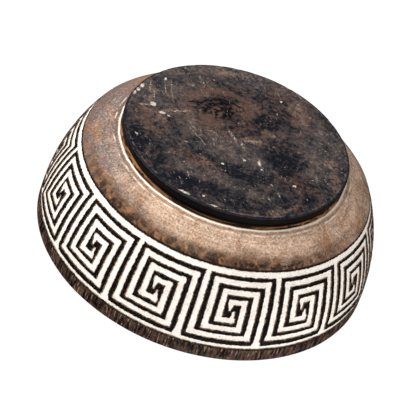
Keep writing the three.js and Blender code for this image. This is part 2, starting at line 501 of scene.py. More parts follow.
class Finish:
    """A material's nodes. Sizes are in millimetres of the piece's own coordinates."""

    def __init__(self, name):
        self.material = bpy.data.materials.new(name)
        self.material.use_nodes = True
        self.tree = self.material.node_tree
        metres = self.node("TexCoord", "Object", {})
        self.place = self.vector("MULTIPLY", metres, (1 / MM, 1 / MM, 1 / MM))
        self.x, self.y, self.z = self.split("SeparateXYZ", self.place)
        self.radius = self.vector("LENGTH", self.stretched(1, 1, 0), (0, 0, 0))

    def node(self, *values, **settings):
        """An output of a new node of this material."""
        return new_node(self.tree, *values, **settings)

    def split(self, kind, value):
        """The three parts of a vector or a colour."""
        return self.node(kind, 0, {0: value}).node.outputs

    def vector(self, operation, first, second):
        """A Vector Math node."""
        output = "Value" if operation in ("LENGTH", "DOT_PRODUCT") else "Vector"
        return self.node("VectorMath", output, {0: first, 1: second}, operation=operation)

    def combine(self, operation, first, *others):
        """Math nodes in a row, each taking in one more of the values."""
        for value in others:
            first = self.node("Math", 0, {0: first, 1: value}, operation=operation)
        return first

    def plus(self, *values):
        """The sum of several values."""
        return self.combine("ADD", *values)

    def minus(self, first, second):
        """The first value less the second."""
        return self.combine("SUBTRACT", first, second)

    def times(self, *values):
        """The product of several values."""
        return self.combine("MULTIPLY", *values)

    def most(self, *values):
        """The largest of several values."""
        return self.combine("MAXIMUM", *values)

    def apart(self, first, second):
        """How far two values are apart."""
        return self.combine("ABSOLUTE", self.minus(first, second), 0.0)

    def clouds(self, size, detail=3.0, roughness=0.55, distortion=0.0, place=None):
        """Noise with patches of the given size, from 0 to 1."""
        inputs = {
            "Vector": self.place if place is None else place,
            "Scale": 1 / size,
            "Detail": detail,
            "Roughness": roughness,
            "Distortion": distortion,
        }
        return self.node("TexNoise", "Fac", inputs)

    def cells(self, size, place, feature="F1"):
        """Distance in a Voronoi pattern of cells of the given size."""
        inputs = {"Vector": place, "Scale": 1 / size}
        return self.node("TexVoronoi", "Distance", inputs, feature=feature)

    def step(self, value, low, high):
        """0 below low and 1 above high, or the other way round where low is larger."""
        rises = float(low < high)
        inputs = {
            "Value": value,
            "From Min": min(low, high),
            "From Max": max(low, high),
            "To Min": 1.0 - rises,
            "To Max": rises,
        }
        return self.node("MapRange", "Result", inputs, interpolation_type="SMOOTHSTEP")

    def blend(self, share, first, second):
        """The first colour at 0 and the second at 1."""
        return self.node("Mix", 2, {0: share, 6: first, 7: second}, data_type="RGBA")

    def level(self, share, first, second):
        """The first number at 0 and the second at 1."""
        return self.node("Mix", 0, {0: share, 2: first, 3: second}, data_type="FLOAT")

    def stretched(self, x, y, z):
        """The piece's coordinates scaled along each axis."""
        return self.vector("MULTIPLY", self.place, (x, y, z))

    def combed(self, turn, long, short):
        """Coordinates in which a unit is long by short millimetres, turned by some degrees."""
        inputs = {
            "Vector": self.place,
            "Rotation": (0, 0, math.radians(turn)),
            "Scale": (long, short, short),
        }
        return self.node("Mapping", 0, inputs, vector_type="TEXTURE")

    def shaken(self, amount, size):
        """The piece's coordinates pushed about, so that drawn marks get ragged edges."""
        inputs = {"Vector": self.place, "Scale": 1 / size, "Detail": 3}
        red, green, _ = self.split("SeparateColor", self.node("TexNoise", "Color", inputs))
        push = [self.times(self.minus(part, 0.5), 2 * amount) for part in (red, green)]
        return self.vector("ADD", self.place, self.node("CombineXYZ", 0, dict(enumerate(push))))

    def rings_place(self, around):
        """Coordinates whose patterns run round the bowl like turning marks."""
        angle = self.combine("ARCTAN2", self.y, self.x)
        third = self.times(self.combine("SINE", angle, 0.0), around)
        return self.node("CombineXYZ", 0, {0: self.radius, 1: self.z, 2: third})

    def attribute(self, name):
        """A value kept on the mesh's points."""
        return self.node("Attribute", "Fac", {}, attribute_name=name)

    def bump(self, height, distance, normal=None):
        """A bump of the given height in millimetres."""
        inputs = {"Strength": 1.0, "Distance": distance * MM, "Height": height}
        if normal is not None:
            inputs["Normal"] = normal
        return self.node("Bump", "Normal", inputs)

    def apply(self, colour, roughness, normal, specular):
        """Feeds the shader and returns the material."""
        inputs = {
            "Base Color": colour,
            "Roughness": roughness,
            "Normal": normal,
            "Specular IOR Level": specular,
        }
        shader = self.tree.nodes["Principled BSDF"]
        for name, value in inputs.items():
            feed(self.tree, shader.inputs[name], value)
        return self.material


class Outside:
    """The parts of the outside's finish, from the cove up to the lip."""

    def __init__(self, side, colours):
        self.finish = f = Finish("carved_wood")
        self.colours = colours
        self.ledge = side.ledge.y / MM
        self.low = side.band_foot.y / MM
        self.high = side.band_lip.y / MM
        # Sides of the bowl, also used to paint light and shade by side: the shoulder is paler
        # at the front and right, darker and greyer on the left.
        self.front = f.step(f.y, -20, -85)
        self.left = f.step(f.x, 25, 95)
        self.right = f.step(f.x, -10, -80)
        self.near_ledge = f.step(f.z, self.ledge + 9.0, self.ledge + 1.0)
        self.near_ring = f.step(f.z, self.low - 9.5, self.low - 3.0)
        self.turning = f.rings_place(14)
        self.mottle = f.clouds(6.5, 4, 0.6, 0.6)
        self.wave = f.clouds(2.6, 4, 0.65)
        self.grime = f.clouds(1.2, 3, 0.85)
        self.grain = f.clouds(1.7, 5, 0.7, 0.2, f.stretched(1, 1, 0.10))

    def rubbed_and_lit(self):
        """Where the shoulder is paler: worn patches at random, with painted light and shade by
        side, and paler near the ledge and darker near the ring.
        """
        f = self.finish
        tone = f.plus(f.times(f.clouds(30, 3, 0.55, 0.7), 0.68), f.times(self.mottle, 0.32))
        # Painted light and shade by side: paler at the front and on the right, darker on the
        # left.
        tone = f.plus(tone, f.plus(f.times(self.front, 0.045), f.times(self.right, 0.055)))
        tone = f.plus(tone, f.minus(f.times(self.near_ledge, 0.10), f.times(self.left, 0.13)))
        tone = f.minus(tone, f.times(self.near_ring, 0.07))
        return f.step(tone, 0.42, 0.64)

    def shoulder(self, rubbed_and_lit):
        """Amber wood, paler in patches from wear and painted light, a painted grey sheen on one
        side, dark in the pores, with a painted shine of pale specks.
        """
        f = self.finish
        c = self.colours
        wood = f.blend(rubbed_and_lit, c.amber, c.tan)
        # Painted sheen: grey patches, strong on the left side of the shoulder and faint
        # elsewhere.
        sheen = f.step(f.clouds(26, 4, 0.6, 1.2, f.stretched(1, 1, 1.7)), 0.36, 0.58)
        wood = f.blend(f.times(sheen, f.level(self.left, 0.08, 0.85)), wood, c.grey_sheen_and_smudge)
        warm = f.step(f.clouds(15, 3, 0.6, 1.0, f.stretched(1.4, 1, 1)), 0.52, 0.66)
        wood = f.blend(f.times(warm, 0.40), wood, c.orange)
        shade = f.step(f.clouds(12, 3, 0.55, 1.4, f.rings_place(30)), 0.54, 0.68)
        wood = f.blend(f.times(shade, f.level(self.near_ring, 0.45, 0.75)), wood, c.brown)
        turned_marks = f.step(f.clouds(1.8, 3, 0.6, 0.3, self.turning), 0.50, 0.66)
        turned_marks = f.times(turned_marks, f.level(self.near_ledge, 0.20, 0.50))
        wood = f.blend(turned_marks, wood, c.brown)
        streaks = f.step(f.clouds(6, 4, 0.6, 2.0, f.rings_place(9)), 0.55, 0.64)
        wood = f.blend(f.times(streaks, 0.42), wood, c.brown)
        pores = f.clouds(1.5, 4, 0.85)
        wood = f.blend(f.times(f.step(pores, 0.50, 0.64), 0.56), wood, c.burnt)
        shine = f.times(f.step(pores, 0.48, 0.34), f.level(rubbed_and_lit, 0.24, 0.58))
        return f.blend(shine, wood, c.pale)

    def scorch(self):
        """Where the shoulder is scorched in tongues that reach down from the limed ring."""
        f = self.finish
        tongues = f.clouds(13, 4, 0.6, 1.4, self.turning)
        reach = f.plus(f.z, f.times(tongues, -15.0))
        scorch = f.step(reach, self.low - 18.5, self.low - 10.5)
        scorch = f.times(scorch, f.level(self.front, 0.30, 0.95))
        return f.times(scorch, f.level(self.right, 1.0, 0.6))

    def scorched(self, wood, scorch):
        """The shoulder with its scorched border and the black line along the limed ring."""
        f = self.finish
        c = self.colours
        smoked = f.times(f.step(f.apart(f.x, -50.0), 66, 34), self.front, self.near_ring)
        smoked = f.times(smoked, f.step(f.clouds(7, 5, 0.65, 1.0), 0.28, 0.50), 0.95)
        soot = f.times(f.step(f.clouds(5.0, 4, 0.6, 0.6), 0.42, 0.64), 0.70)
        rust = f.blend(f.step(self.mottle, 0.42, 0.66), c.brown, c.orange)
        wood = f.blend(f.most(scorch, smoked), wood, f.blend(soot, c.burnt, rust))
        wavy = f.plus(f.z, f.times(self.wave, -1.6))
        return f.blend(f.step(wavy, self.low - 2.5, self.low - 1.7), wood, c.burnt)

    def ledge_and_cove(self, wood):
        """The pale ledge, its thin pale line a painted highlight, with a groove above it, and
        the burnt cove under it, painted near-black as shade next to the foot.
        """
        f = self.finish
        c = self.colours
        wander = f.plus(f.z, f.times(f.clouds(14, 3, 0.6), 0.7))
        groove = f.step(f.apart(wander, self.ledge + 1.2), 0.40, 0.15)
        wood = f.blend(f.times(groove, 0.45), wood, c.brown)
        second_line = f.step(f.apart(wander, self.ledge + 1.75), 0.30, 0.10)
        broken = f.step(f.clouds(11, 2), 0.45, 0.58)
        wood = f.blend(f.times(second_line, broken, 0.6), wood, c.pale)
        grain = f.clouds(3.4, 4, 0.65, 0.4, f.rings_place(24))
        cove = f.blend(f.times(f.step(grain, 0.42, 0.62), 0.75), c.burnt, c.orange)
        # Painted shade: the cove is near-black next to the foot, in a narrower band on the
        # left.
        below = f.minus(f.minus(self.ledge, f.z), f.level(self.left, 1.1, 2.6))
        cove = f.blend(f.step(below, 0.0, 0.8), cove, c.near_black)
        wood = f.blend(f.step(f.z, self.ledge - 0.1, self.ledge - 0.5), wood, cove)
        # Painted highlight: a thin pale line along the ledge's edge, weaker on the right.
        line = f.step(f.apart(wander, self.ledge + 0.42), 0.32, 0.14)
        return f.blend(f.times(line, f.level(self.right, 1.0, 0.55)), wood, c.pale)

    def ridges(self):
        """Black wood with brown grain, and brown where the carved edges are worn."""
        f = self.finish
        c = self.colours
        wood = f.blend(f.times(f.step(self.grime, 0.52, 0.64), 0.60), c.near_black, c.lip)
        rub = f.times(f.attribute("edge"), f.step(f.clouds(4, 4, 0.7), 0.36, 0.56))
        wood = f.blend(f.times(rub, 0.75), wood, f.blend(self.grime, c.brown, c.tan))
        return f.blend(f.times(f.step(self.grime, 0.66, 0.74), 0.5), wood, c.tan)

    def lip(self):
        """Dark brown wood with fine grain running up the side and pale flecks."""
        f = self.finish
        c = self.colours
        wood = f.blend(f.step(self.grain, 0.44, 0.60), c.near_black, c.lip)
        wood = f.blend(f.times(f.step(f.clouds(9, 3), 0.46, 0.64), 0.30), wood, c.brown)
        flecks = f.step(f.clouds(1.0, 2, 0.6, 0.0, f.stretched(1, 1, 0.14)), 0.58, 0.68)
        return f.blend(f.times(flecks, 0.40), wood, c.tan)


def carved_wood(side, colours):
    """The outside of the bowl: cove, burnished shoulder, black ridges and dark lip."""
    outside = Outside(side, colours)
    f = outside.finish
    rubbed_and_lit = outside.rubbed_and_lit()
    scorch = outside.scorch()
    on_band = f.step(f.z, outside.low - 0.5, outside.low - 0.1)
    wavy = f.plus(f.z, f.times(outside.wave, 2.0))
    above = f.step(wavy, outside.high + 1.2, outside.high + 2.0)
    wood = outside.scorched(outside.shoulder(rubbed_and_lit), scorch)
    wood = outside.ledge_and_cove(wood)
    wood = f.blend(on_band, wood, outside.ridges())
    wood = f.blend(above, wood, outside.lip())
    gloss = f.level(f.most(scorch, on_band), f.level(rubbed_and_lit, 0.46, 0.58), 0.66)
    fine = f.plus(f.times(outside.grime, 0.7), f.times(outside.grain, above))
    normal = f.bump(fine, 0.25, f.bump(outside.mottle, 0.5))
    return f.apply(wood, gloss, normal, 0.035)


def inside_wood(colours):
    """The oiled hollow, with turning rings."""
    f = Finish("inside_wood")
    grain = f.clouds(9, 5, 0.6, 1.2, f.stretched(1, 0.16, 0.5))
    fine = f.clouds(0.8, 3, 0.6, 0.4, f.stretched(1, 0.08, 0.4))
    rings = f.clouds(1.5, 3, 0.6, 0.0, f.rings_place(10))
    wood = f.blend(f.step(grain, 0.35, 0.68), colours.inside, colours.brown)
    wood = f.blend(f.times(f.step(fine, 0.5, 0.75), 0.6), wood, colours.burnt)
    wood = f.blend(f.times(f.step(rings, 0.5, 0.7), 0.3), wood, colours.lip)
    height = f.plus(rings, f.times(fine, 0.4))
    return f.apply(wood, f.level(fine, 0.36, 0.52), f.bump(height, 0.16), 0.45)


def chalky_lime(colours):
    """Lime pressed into the channels: matt, warm white, with grit and grime."""
    f = Finish("chalky_lime")
    stain = f.step(f.clouds(5, 5, 0.7, 0.8), 0.46, 0.66)
    grit = f.step(f.clouds(1.5, 3, 0.9), 0.52, 0.66)
    smudge = f.step(f.clouds(7, 4, 0.7, 1.0), 0.58, 0.72)
    lime = f.blend(f.times(stain, 0.62), colours.lime, colours.cream)
    lime = f.blend(f.times(grit, f.level(smudge, 0.36, 0.70)), lime, colours.brown)
    lime = f.blend(f.times(smudge, 0.22), lime, colours.grey_sheen_and_smudge)
    pits = f.clouds(1.6, 5, 0.75)
    return f.apply(lime, f.level(grit, 0.82, 0.6), f.bump(pits, 0.30), 0.2)


# Marks on the foot: centre, radii and turn in millimetres and degrees on its own face.
Mark = namedtuple("Mark", "x y long short turn")
PALE_CLOUDS = (
    Mark(56, 30, 24, 30, 20),
    Mark(8, 72, 44, 9, -8),
    Mark(-62, 14, 13, 24, 0),
    Mark(-42, 50, 20, 9, 50),
    Mark(4, -12, 32, 15, 25),
    Mark(10, -50, 30, 7, 10),
)
TAN_STREAKS = (
    Mark(-35, 55, 13, 3.4, 65),
    Mark(17, 74, 14, 2.6, -22),
    Mark(-69, 8, 5, 4, 0),
    Mark(-75, -8, 9, 2.6, 80),
    Mark(-20, 17, 4.5, 3, 30),
    Mark(-12, 4, 9, 2.2, -20),
    Mark(45, 8, 12, 2.6, -29),
    Mark(70, 2, 6, 1.0, -20),
    Mark(-4, 41, 3.6, 3, 0),
    Mark(68, 18, 2.2, 9, -8),
    Mark(16, -37, 7, 3, 20),
    Mark(-46, -61, 15, 2.2, -46),
    Mark(60, -6, 10, 1.6, 20),
)
SCRATCHES = (
    Mark(4, 1, 6, 0.9, 50),
    Mark(-5, -6, 4, 0.9, 58),
    Mark(-11, 3, 5, 0.7, -24),
    Mark(-20, -18, 3.4, 1.3, 72),
    Mark(58, 33, 6, 0.4, 76),
    Mark(61, 27, 5, 0.35, 70),
    Mark(72, 25, 6, 0.45, 80),
    Mark(67, 16, 5, 0.45, 76),
    Mark(54, 21, 4, 0.35, 74),
    Mark(47, 7, 7, 0.7, -30),
    Mark(70, 2, 4, 0.45, -22),
    Mark(24, -57, 3.4, 0.35, 68),
    Mark(-41, -47, 3.4, 0.35, 60),
    Mark(-34, -53, 2.6, 0.35, 60),
    Mark(-62, -14, 3.4, 0.4, 80),
    Mark(28, -12, 9, 0.3, 42),
)
DARK_CLOUDS = (
    Mark(-12, 30, 10, 8, 20),
    Mark(-31, 1, 11, 12, 0),
    Mark(-12, -35, 20, 6, -5),
    Mark(58, -46, 20, 10, 50),
    Mark(6, -65, 36, 8, 0),
    Mark(-45, -8, 7, 14, 30),
    Mark(-56, -46, 14, 8, -50),
)
BROWN_CLOUDS = (
    Mark(14, 24, 34, 30, -15),
    Mark(-50, -27, 15, 10, 20),
    Mark(20, -40, 18, 8, 10),
    Mark(62, -14, 16, 12, 60),
    Mark(-30, 55, 24, 12, 50),
)
CRESCENT = (Mark(15, 20, 30.5, 30.5, 0), Mark(13.4, 16.8, 28.3, 28.3, 0))
SEAM = (Mark(15, 19, 20.2, 20.2, 0), Mark(14.6, 18.2, 18.9, 18.9, 0))
HEART = Mark(19, 26, 15, 12, -20)
ISLANDS = (
    Mark(20, 22, 4.4, 5.4, 0),
    Mark(23, 10, 8.5, 6.5, 20),
    Mark(2, 34, 9, 7, 30),
    Mark(-19, 17, 4, 4, 0),
)
HEART_BLACKS = (
    Mark(18, 34, 4.6, 2.2, -30),
    Mark(13, 29, 1.7, 4.5, 10),
    Mark(25, 29, 3.4, 1.6, -40),
    Mark(13, 21, 1.5, 4.2, 20),
    Mark(29, 19, 1.6, 3.4, 10),
    Mark(36, 25, 6.5, 0.9, -27),
)
CHIPS = (
    Mark(77.4, 22, 1.3, 2.3, 0),
    Mark(79, 16.5, 1.1, 1.6, 0),
    Mark(80.6, 11, 1.0, 2.0, 0),
    Mark(65, 5.5, 2.1, 1.7, 60),
    Mark(57, -0.7, 2.0, 1.2, 0),
    Mark(51.7, -1.8, 0.8, 0.7, 0),
    Mark(68, -33, 1.3, 0.7, 20),
    Mark(63.8, 38.5, 0.8, 1.4, 0),
    Mark(-20, -18.7, 2.2, 0.9, 72),
    Mark(-9.5, -21.3, 1.0, 0.9, 0),
    Mark(-23, -24.6, 0.8, 0.8, 0),
    Mark(-48.4, -30, 1.4, 0.8, -50),
    Mark(4, -33, 0.8, 1.0, 0),
    Mark(9, -74, 0.8, 0.7, 0),
    Mark(22, -77, 3.4, 1.0, 10),
    Mark(0, -80, 2.0, 0.5, 0),
    Mark(-21, 60, 0.7, 1.1, 0),
)


def marked(f, marks, place, soft):
    """1 inside any of the marks and 0 outside, with a soft border."""
    result = 0.0
    for mark in marks:
        turn = math.radians(mark.turn)
        offset = f.vector("SUBTRACT", place, (mark.x, mark.y, 0))
        along = (math.cos(turn) / mark.long, math.sin(turn) / mark.long, 0)
        across = (-math.sin(turn) / mark.short, math.cos(turn) / mark.short, 0)
        run = f.vector("DOT_PRODUCT", offset, along)
        side = f.vector("DOT_PRODUCT", offset, across)
        near_squared = f.plus(f.times(run, run), f.times(side, side))
        result = f.most(result, f.step(near_squared, (1 + soft) ** 2, (1 - soft) ** 2))
    return result


def between(f, outer, inner, place, soft):
    """1 inside the outer mark but outside the inner one."""
    around = marked(f, [outer], place, soft)
    hole = marked(f, [inner], place, soft)
    return f.times(around, f.minus(1.0, hole))


def charred_foot(bowl, colours):
    """The foot disc: smoked wood with brown clouds, cracks, chips and scratches."""
    f = Finish("charred_foot")
    c = colours
    rim = bowl.foot_radius / MM
    shaken = f.shaken(6.0, 9.0)
    ragged = f.shaken(1.4, 1.8)
    clouds = f.clouds(22, 4, 0.6, 0.8)
    smoke = f.clouds(6.5, 4, 0.65, 0.5)
    grain = f.clouds(2.7, 4, 0.8, 0.3)
    dust = f.clouds(1.7, 3, 0.8)

    # Smoky ground: navy black in the hollows, brown in places, dusty where it is rubbed.
    brown = f.step(f.plus(f.times(clouds, 0.6), f.times(smoke, 0.4)), 0.47, 0.60)
    bare = marked(f, BROWN_CLOUDS, shaken, 0.5)
    brown = f.most(f.times(brown, 0.5), f.times(bare, f.step(smoke, 0.34, 0.56)))
    pale = marked(f, PALE_CLOUDS, shaken, 0.6)
    deep = marked(f, DARK_CLOUDS, shaken, 0.5)
    tone = f.plus(f.times(clouds, 0.26), f.times(smoke, 0.26), f.times(grain, 0.48))
    tone = f.plus(tone, f.times(f.minus(pale, deep), 0.055))
    hue = f.blend(f.times(brown, 0.85), c.smoke, c.rust)
    wood = f.blend(f.step(tone, 0.42, 0.56), c.foot, hue)
    wood = f.blend(f.times(f.step(tone, 0.53, 0.70), 0.62), wood, c.dust)
    tan = f.times(marked(f, TAN_STREAKS, shaken, 0.6), f.step(grain, 0.38, 0.60))
    wood = f.blend(f.times(tan, 0.42), wood, f.blend(0.35, c.dust, c.orange))

    # Crescent of bare reddish wood over a black star of cracks, with brown islands in it.
    bent = f.shaken(2.4, 6.0)
    upper = f.step(f.plus(f.y, f.times(f.x, 0.35)), 31, 37)
    crescent = f.times(between(f, *CRESCENT, bent, 0.035), upper)
    bare_wood = f.blend(f.times(f.step(grain, 0.50, 0.70), 0.4), c.rust, c.dust)
    islands = marked(f, ISLANDS, bent, 0.25)
    wood = f.blend(f.times(f.most(crescent, islands), 0.80), wood, bare_wood)
    seam = f.times(between(f, *SEAM, bent, 0.05), upper)
    heart = marked(f, [HEART], shaken, 0.4)
    cracks = f.step(f.cells(8, shaken, "DISTANCE_TO_EDGE"), 0.13, 0.03)
    cracks = f.times(heart, cracks, f.step(f.clouds(6, 2), 0.42, 0.52))
    blacks = marked(f, HEART_BLACKS, bent, 0.4)
    cracks = f.most(cracks, f.most(blacks, seam))
    wood = f.blend(f.times(cracks, 0.95), wood, c.near_black)

    # Scratches, chips and specks down to pale wood.
    broken = f.step(f.clouds(1.6, 4, 0.8), 0.46, 0.60)
    scratches = f.times(marked(f, SCRATCHES, ragged, 0.6), broken, 0.55)
    dashes = f.step(f.cells(1, f.combed(52, 6.0, 1.3)), 0.30, 0.10)
    dashes = f.times(dashes, f.step(f.clouds(10, 3), 0.52, 0.64), 0.28)
    specks = f.step(f.cells(3.0, shaken), 0.22, 0.06)
    speckled = f.most(f.step(f.clouds(12, 3), 0.50, 0.64), f.times(pale, 0.5))
    specks = f.times(specks, speckled, 0.55)
    dots = f.times(f.step(dust, 0.67, 0.77), 0.45)
    chips = f.times(marked(f, CHIPS, ragged, 0.5), f.level(broken, 0.40, 0.95))
    wood = f.blend(f.most(scratches, dashes, f.most(specks, dots)), wood, c.cream)
    wood = f.blend(chips, wood, c.pale)

    # Black edge, with a thin rubbed corner that is partly a painted highlight; the side of the
    # disc is painted near-black as shade.
    corner = f.step(f.radius, rim - 1.9, rim - 0.9)
    wood = f.blend(f.times(corner, 0.75), wood, c.foot)
    # Painted highlight, broken by wear: a thin dusty line just inside the rim.
    thin_line = f.step(f.apart(f.radius, rim - 2.4), 0.9, 0.3)
    rubbed_and_lit = f.times(thin_line, f.step(f.clouds(6, 4, 0.7), 0.48, 0.62))
    wood = f.blend(f.times(rubbed_and_lit, 0.45), wood, c.dust)
    # Painted shade: the side of the disc and above it are near-black.
    wood = f.blend(f.step(f.z, 0.5, 1.0), wood, c.near_black)

    height = f.minus(f.plus(f.times(smoke, 0.40), f.times(grain, 0.60)), cracks)
    return f.apply(wood, f.level(brown, 0.50, 0.68), f.bump(height, 0.4), 0.09)


# ---- Pieces --------------------------------------------------------------------------------


def settings():
    """The scene's sizes and colours, and the side worked out from them."""
    scene = bpy.context.scene
    side = Side(scene.bowl_sizes, scene.key_sizes)
    return scene.bowl_sizes, scene.key_sizes, scene.bowl_colours, side


def material(name, make, *values):
    """The material of that name, made the first time it is asked for."""
    return bpy.data.materials.get(name) or make(*values)


def placed(piece, slot, *nodes):
    """Makes a finished piece ride on the bowl and stand for its part of it."""
    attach(piece, "root")
    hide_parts(*nodes)


def evenly(start, end, steps):
    """Points from start to end, without the end."""
    return [start.lerp(end, i / steps) for i in range(steps)]


def body_profile(bowl, key, side):
    """Outline of the bowl from the foot's socket round the outside and back to the floor."""
    socket_radius = bowl.spigot_radius + bowl.gap
    socket_top = side.foot_top + bowl.spigot_depth
    cove_radius = bowl.foot_radius - bowl.cove_inset
    cove = Arc(side.ledge, Vector((cove_radius, side.foot_top)), 1.1 * MM)
    points = [Vector((0, socket_top)), Vector((socket_radius, socket_top))]
    points += [Vector((socket_radius, side.foot_top)), Vector((cove_radius, side.foot_top))]
    points += [cove.at(1 - i / 5) for i in range(1, 5)]
    points += [side.shoulder.at(i / 26) for i in range(27) if i / 26 < border_share(key, side)]
    recess = key.depth + PANEL_BED
    points += [side.at(-key.border), side.at(-key.border, -recess)]
    points += [side.at(y * side.band.length / 8, -recess) for y in range(9)]
    top = side.band.length + key.border
    points += [side.at(top, -recess), side.at(top)]
    points += evenly(side.at(top), side.lip_start, 9)[1:]
    inner_lip = bowl.bowl_radius - bowl.wall
    points += rounded_lip(side, bowl, inner_lip)
    floor_top = socket_top + bowl.floor
    inner_band = [side.band.at(1 - i / 14, -bowl.wall) for i in range(15)]
    inner_shoulder = [side.shoulder.at(1 - i / 8, -bowl.wall) for i in range(1, 9)]
    inside = [
        point
        for point in inner_band + inner_shoulder
        if point.y > floor_top + bowl.floor_dish / 2 and point.x < inner_lip
    ]
    points += inside
    points += evenly(inside[-1], Vector((bowl.foot_radius / 2, floor_top)), 6)[1:]
    points += evenly(Vector((bowl.foot_radius / 2, floor_top)), Vector((0, floor_top)), 5)
    points.append(Vector((0, floor_top)))
    return points


def border_share(key, side):
    """Where the carved panels' border begins, as a share of the shoulder."""
    return 1 - key.border / side.shoulder.length


def rounded_lip(side, bowl, inner_lip):
    """Points over the lip from its outer to its inner face."""
    middle = (bowl.bowl_radius + inner_lip) / 2
    half = (bowl.bowl_radius - inner_lip) / 2
    steps = 12
    points = []
    for i in range(steps + 1):
        angle = math.pi * i / steps
        across = math.copysign(abs(math.cos(angle)) ** 0.45, math.cos(angle))
        up = math.sin(angle) ** 0.7
        points.append(Vector((middle + half * across, side.lip_start.y + bowl.lip_round * up)))
    return points


def build_body():
    """The bowl body without its carved face."""
    bowl, key, colours, side = settings()
    bm = turned(body_profile(bowl, key, side), bowl.turns)
    seams = [side.at(y).y for y in (-key.border, side.band.length + key.border)]
    for vert in bm.verts:
        wobble = 0.18 * MM * rough(vert.co, 30 * MM, 1.7)
        outward = Vector((vert.co.x, vert.co.y, 0))
        if outward.length > bowl.spigot_radius * 1.1:
            if all(abs(vert.co.z - seam) > SAME_HEIGHT for seam in seams):
                vert.co += outward.normalized() * wobble
    bm.normal_update()
    for face in bm.faces:
        centre = face.calc_center_median()
        radial = Vector((centre.x, centre.y, 0)).normalized().dot(face.normal)
        hollow = radial < 0.2 and centre.z < side.lip_start.y
        face.material_index = int(hollow and face.normal.z > -0.1)
    outside = material("carved_wood", carved_wood, side, colours)
    inside = material("inside_wood", inside_wood, colours)
    piece = finished(bm, "bowl_body_turned", [outside, inside])
    placed(piece, "brown_wood", "bowl_body")


def panel_heights(panel, key, side, xs, ys):
    """Height of the carved face, and nearness to an edge, at each place of a panel's grid."""
    cuts = cuts_of(panel, key, side) + cuts_of(panel - 1, key, side)
    rings = ring_edges(side)
    margin = key.line_width + NEAR_EDGE
    heights = {}
    for i, x in enumerate(xs):
        near = [
            cut
            for cut in cuts
            if min(cut.start.x, cut.end.x) - margin < x < max(cut.start.x, cut.end.x) + margin
        ]
        for j, y in enumerate(ys):
            place = Vector((x, y))
            distance = min(
                [max(low - y, y - high) for low, high in rings]
                + [depth_in(cut, place) for cut in near]
            )
            solid = side.wrapped(x, y)
            if distance < NEAR_EDGE:
                distance = chipped(distance, solid, key.chip)
            cut_share = 1 - eased(distance, WALL_BOTTOM, WALL_TOP)
            round_off = ROUNDED_BY * (1 - eased(distance, 0.0, ROUNDED_OVER))
            face = RIDGE_ROUGH * rough(solid, 6 * MM, 5.5) - round_off
            edge = 1 - eased(abs(distance + 0.08 * MM), 0.10 * MM, 0.42 * MM)
            heights[i, j] = (face * (1 - cut_share) - key.depth * cut_share, edge)
    return heights


def build_panel(panel):
    """One panel of the carved face: a thin block of wood whose top is the carving."""
    _, key, colours, side = settings()
    width = key.columns * side.column_pitch
    columns = round(width / key.mesh_step)
    low = -key.border
    high = side.band.length + key.border
    rows = round((high - low) / key.mesh_step)
    xs = [panel * width + width * i / columns for i in range(columns + 1)]
    ys = [low + (high - low) * j / rows for j in range(rows + 1)]
    heights = panel_heights(panel, key, side, xs, ys)
    back = -key.depth - PANEL_BACK
    back_ys = [high + (low - high) * j / 8 for j in range(9)]
    sections = []
    for i, x in enumerate(xs):
        front = [side.wrapped(x, y, heights[i, j][0]) for j, y in enumerate(ys)]
        behind = [side.wrapped(x, y, back) for y in back_ys]
        sections.append(front + behind)
    bm = lofted(sections)
    wood = material("carved_wood", carved_wood, side, colours)
    name = f"carved_panel_{panel + 1:02d}"
    edges = edge_values(bm, heights, sections)
    piece = finished(bm, name, [wood])
    attribute = piece.data.attributes.new("edge", "FLOAT", "POINT")
    attribute.data.foreach_set("value", edges)
    placed(piece, "brown_wood", "bowl_body")


def edge_values(bm, heights, sections):
    """Nearness to a carved edge for each point of a panel, found by its place."""
    values = {}
    for (i, j), (_, edge) in heights.items():
        values[tuple(round(c, 7) for c in sections[i][j])] = edge
    return [values.get(tuple(round(c, 7) for c in vert.co), 0.0) for vert in bm.verts]


def lime_rough(place):
    """Unevenness of the lime's surface."""
    return LIME_ROUGH * rough(place, LIME_BUMPS, LIME_SEED)


def strip_sections(corners, key, side):
    """Sections of a lime strip along a bent line, its corners mitred."""
    across = [-1, -0.86, -0.66, -0.36, 0, 0.36, 0.66, 0.86, 1]
    base = -key.depth - BASE_TUCK
    sections = []
    legs = list(zip(corners, corners[1:]))
    directions = [(end[0] - start[0]).normalized() for start, end in legs]
    for index, ((start, wide), (end, narrow)) in enumerate(legs):
        along = directions[index]
        normal = Vector((-along.y, along.x))
        turn_in = directions[index - 1].cross(along) if index else 0
        turn_out = along.cross(directions[index + 1]) if index < len(legs) - 1 else 0
        span = (end - start).length
        count = max(2, round(span / LINE_STEP))
        for i in range(count + (index == len(legs) - 1)):
            share = i / count
            half = (wide + (narrow - wide) * share) / 2 + LINE_TUCK
            run = span * share
            if index == 0 and i == 0:
                run -= LINE_TUCK
            if index == len(legs) - 1 and i == count:
                run += LINE_TUCK
            mitre = turn_in * (1 - share) - turn_out * share
            sideways = (normal + along * mitre) * half
            flats = [start + along * run + sideways * s for s in across]
            section = []
            for s, flat in zip(across, flats):
                sag = LIME_DISH * (1 - s * s) + lime_rough(side.wrapped(*flat))
                section.append(side.wrapped(*flat, -key.fill_drop - sag))
            section += [side.wrapped(*flat, base) for flat in reversed(flats[::4])]
            sections.append(section)
    return sections


def build_key_fill(name, line, panel):
    """The lime of one key line."""
    _, key, colours, side = settings()
    bm = lofted(strip_sections(laid_out(line, panel, key, side), key, side))
    lime = material("chalky_lime", chalky_lime, colours)
    piece = finished(bm, f"{name}_limed", [lime])
    placed(piece, "lime_fill", name)


